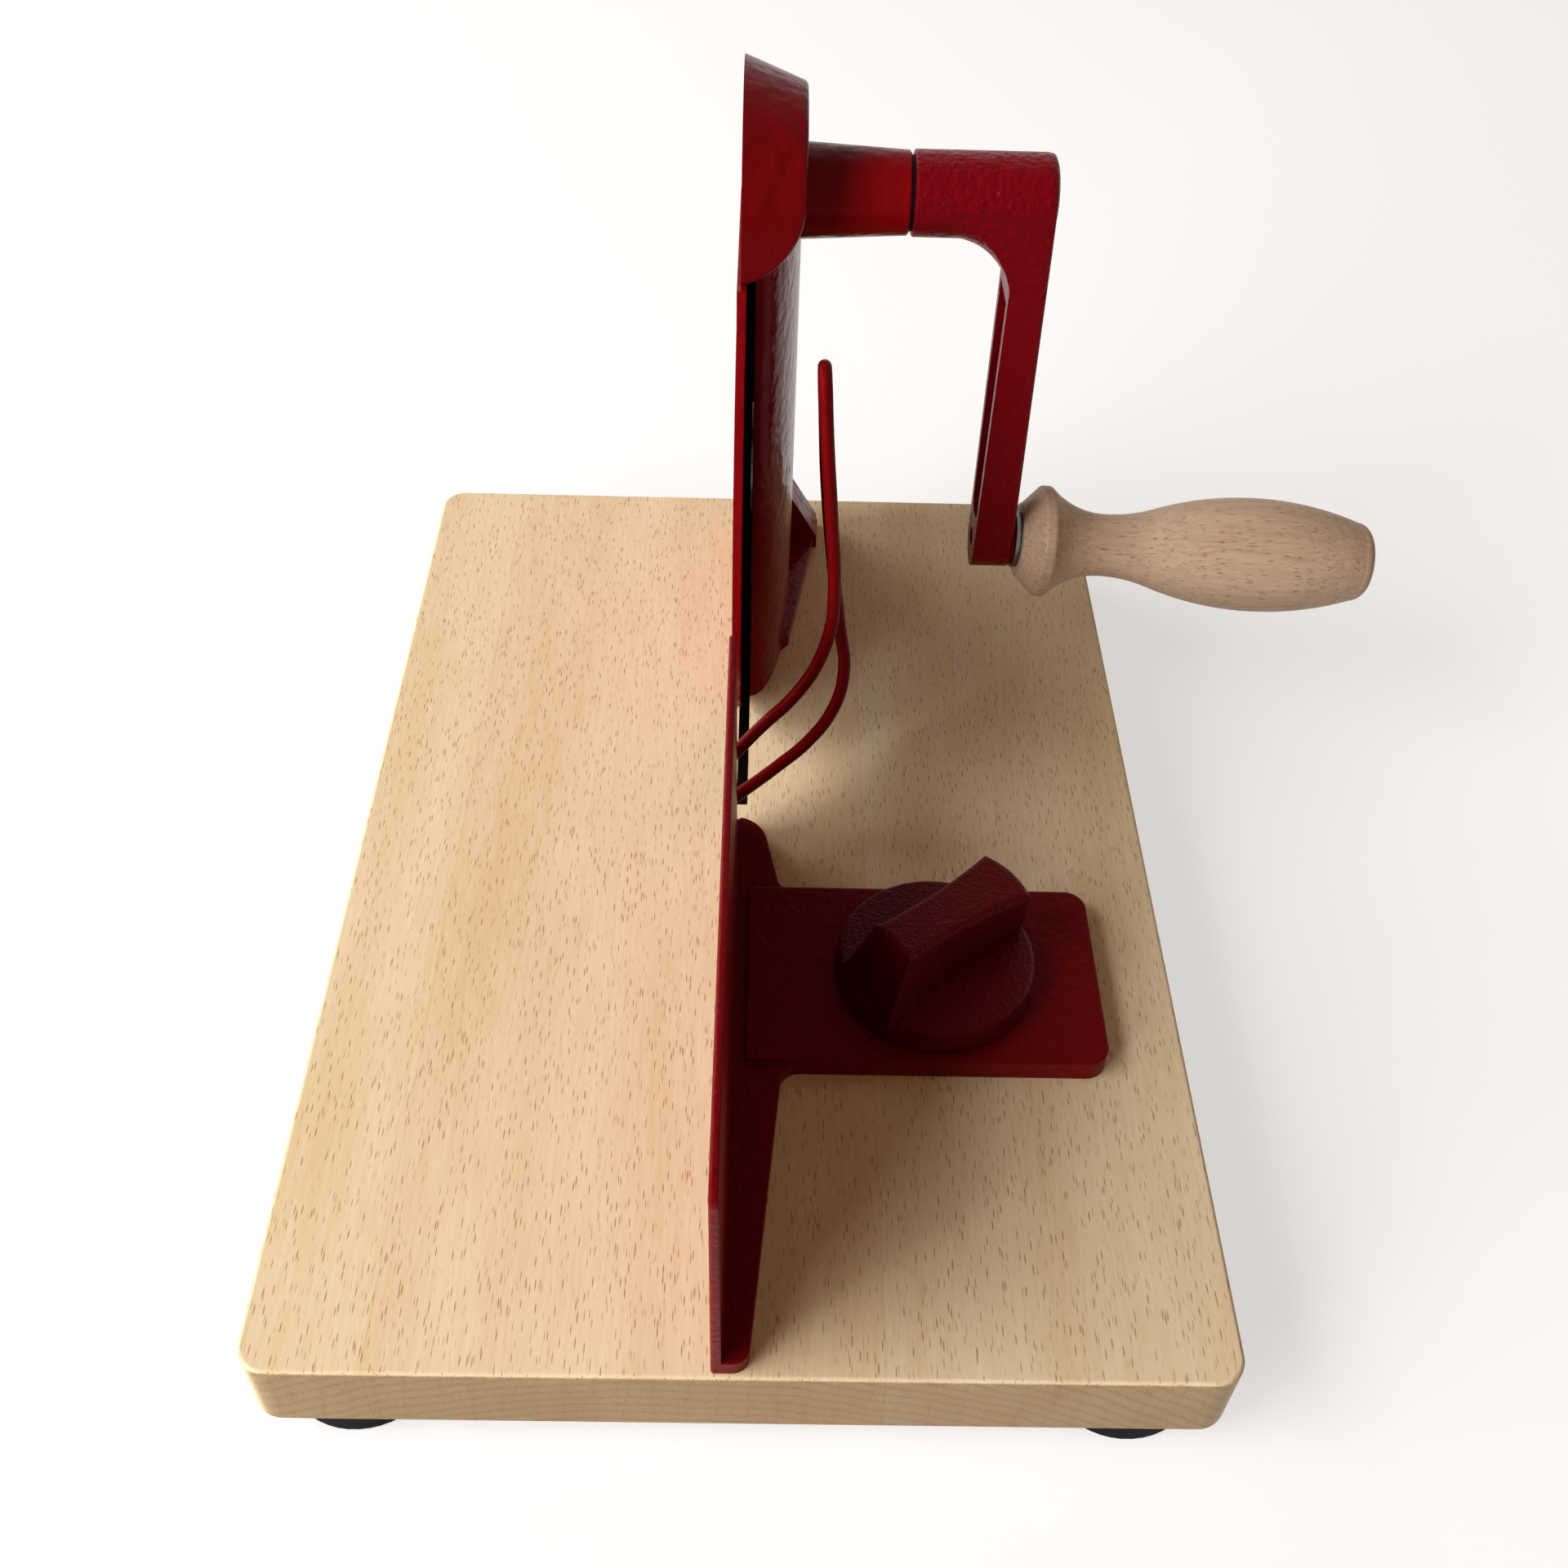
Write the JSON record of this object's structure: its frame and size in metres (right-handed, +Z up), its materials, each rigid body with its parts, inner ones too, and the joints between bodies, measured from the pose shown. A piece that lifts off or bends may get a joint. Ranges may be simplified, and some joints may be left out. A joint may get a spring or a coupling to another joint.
{
  "type": "hand-cranked food slicer",
  "caption": "Hand-cranked slicer: round blade geared to a side crank with a turned handle, sliding stop plate with a rod slice guard and clamp knob, on a wooden board.",
  "frame": {"origin": "middle of the overall box, on the surface the feet stand on", "axes": "+X towards the crank handle, +Y away from the user, along the direction the food is pushed, +Z up"},
  "size_m": [0.32, 0.35, 0.2317],
  "materials": {
    "beech": "oiled, satin",
    "handle_wood": "varnished, satin",
    "rubber": "matte",
    "red_paint": "gloss enamel on a casting",
    "zinc_steel": "zinc plated",
    "blade_steel": "black non-stick coating",
    "gear_steel": "machined, greased",
    "bronze": "turned",
    "black_plastic": "satin",
    "red_wrinkle": "wrinkled enamel, satin"
  },
  "bodies": {
    "frame": {"base_board": "beech", "rubber_feet": "rubber", "feet_screws": "zinc_steel", "main_frame": "red_paint", "frame_bolts": "zinc_steel", "frame_washers": "zinc_steel", "gear_cover": "zinc_steel", "gear_cover_screws": "zinc_steel", "blade_cover": "red_paint", "blade_cover_screws": "zinc_steel", "blade_axle": "zinc_steel", "blade_retaining_washer": "zinc_steel", "blade_retaining_screw": "zinc_steel", "idler_axles": "zinc_steel", "crank_bush_inner": "bronze", "crank_bush_outer": "bronze", "thrust_washer": "black_plastic", "clamp_bolt": "zinc_steel", "clamp_bolt_washer": "zinc_steel"},
    "crank": {"crank_gear": "gear_steel", "crank_shaft": "zinc_steel", "crank_arm": "red_paint", "crank_grub_screw": "zinc_steel", "handle_bolt": "zinc_steel", "handle_washer": "zinc_steel", "handle_sleeve": "zinc_steel"},
    "upper_idler": {"upper_idler_gear": "gear_steel", "upper_idler_bush": "bronze"},
    "lower_idler": {"lower_idler_gear": "gear_steel", "lower_idler_bush": "bronze"},
    "blade": {"slicing_blade": "blade_steel", "blade_hub": "zinc_steel", "blade_screws": "zinc_steel", "blade_bush": "bronze", "blade_gear": "gear_steel"},
    "handle": {"wooden_handle": "handle_wood"},
    "stop": {"stop_plate": "red_paint", "guide_pins": "zinc_steel"},
    "knob": {"thickness_knob": "red_wrinkle", "knob_insert": "bronze", "knob_washer": "zinc_steel"}
  },
  "joints": [
    {"name": "crank_spin", "type": "hinge", "parent": "frame", "child": "crank", "pos_m": [0, 0.0875, 0.1975], "axis": [1, 0, 0], "continuous": true},
    {"name": "upper_idler_spin", "type": "hinge", "parent": "frame", "child": "upper_idler", "pos_m": [-0.0373, 0.09287, 0.16646], "axis": [1, 0, 0], "continuous": true},
    {"name": "lower_idler_spin", "type": "hinge", "parent": "frame", "child": "lower_idler", "pos_m": [-0.0373, 0.09287, 0.13496], "axis": [1, 0, 0], "continuous": true},
    {"name": "blade_spin", "type": "hinge", "parent": "frame", "child": "blade", "pos_m": [-0.0437, 0.0875, 0.1085], "axis": [1, 0, 0], "continuous": true},
    {"name": "handle_spin", "type": "hinge", "parent": "crank", "child": "handle", "pos_m": [0.0415, 0.0875, 0.0807], "axis": [0.9985, 0, -0.0541], "continuous": true},
    {"name": "knob_turn", "type": "hinge", "parent": "frame", "child": "knob", "pos_m": [0.0115, -0.0585, 0.04], "axis": [0, 0, 1], "range_deg": [0, 180]},
    {"name": "plate_slide", "type": "slide", "parent": "frame", "child": "stop", "axis": [1, 0, 0], "range_m": [0, 0.02]}
  ],
  "couplings": [
    {"joint": "upper_idler_spin", "follows": "crank_spin", "ratio": -0.90909},
    {"joint": "lower_idler_spin", "follows": "crank_spin", "ratio": 1},
    {"joint": "blade_spin", "follows": "crank_spin", "ratio": -1.25}
  ]
}
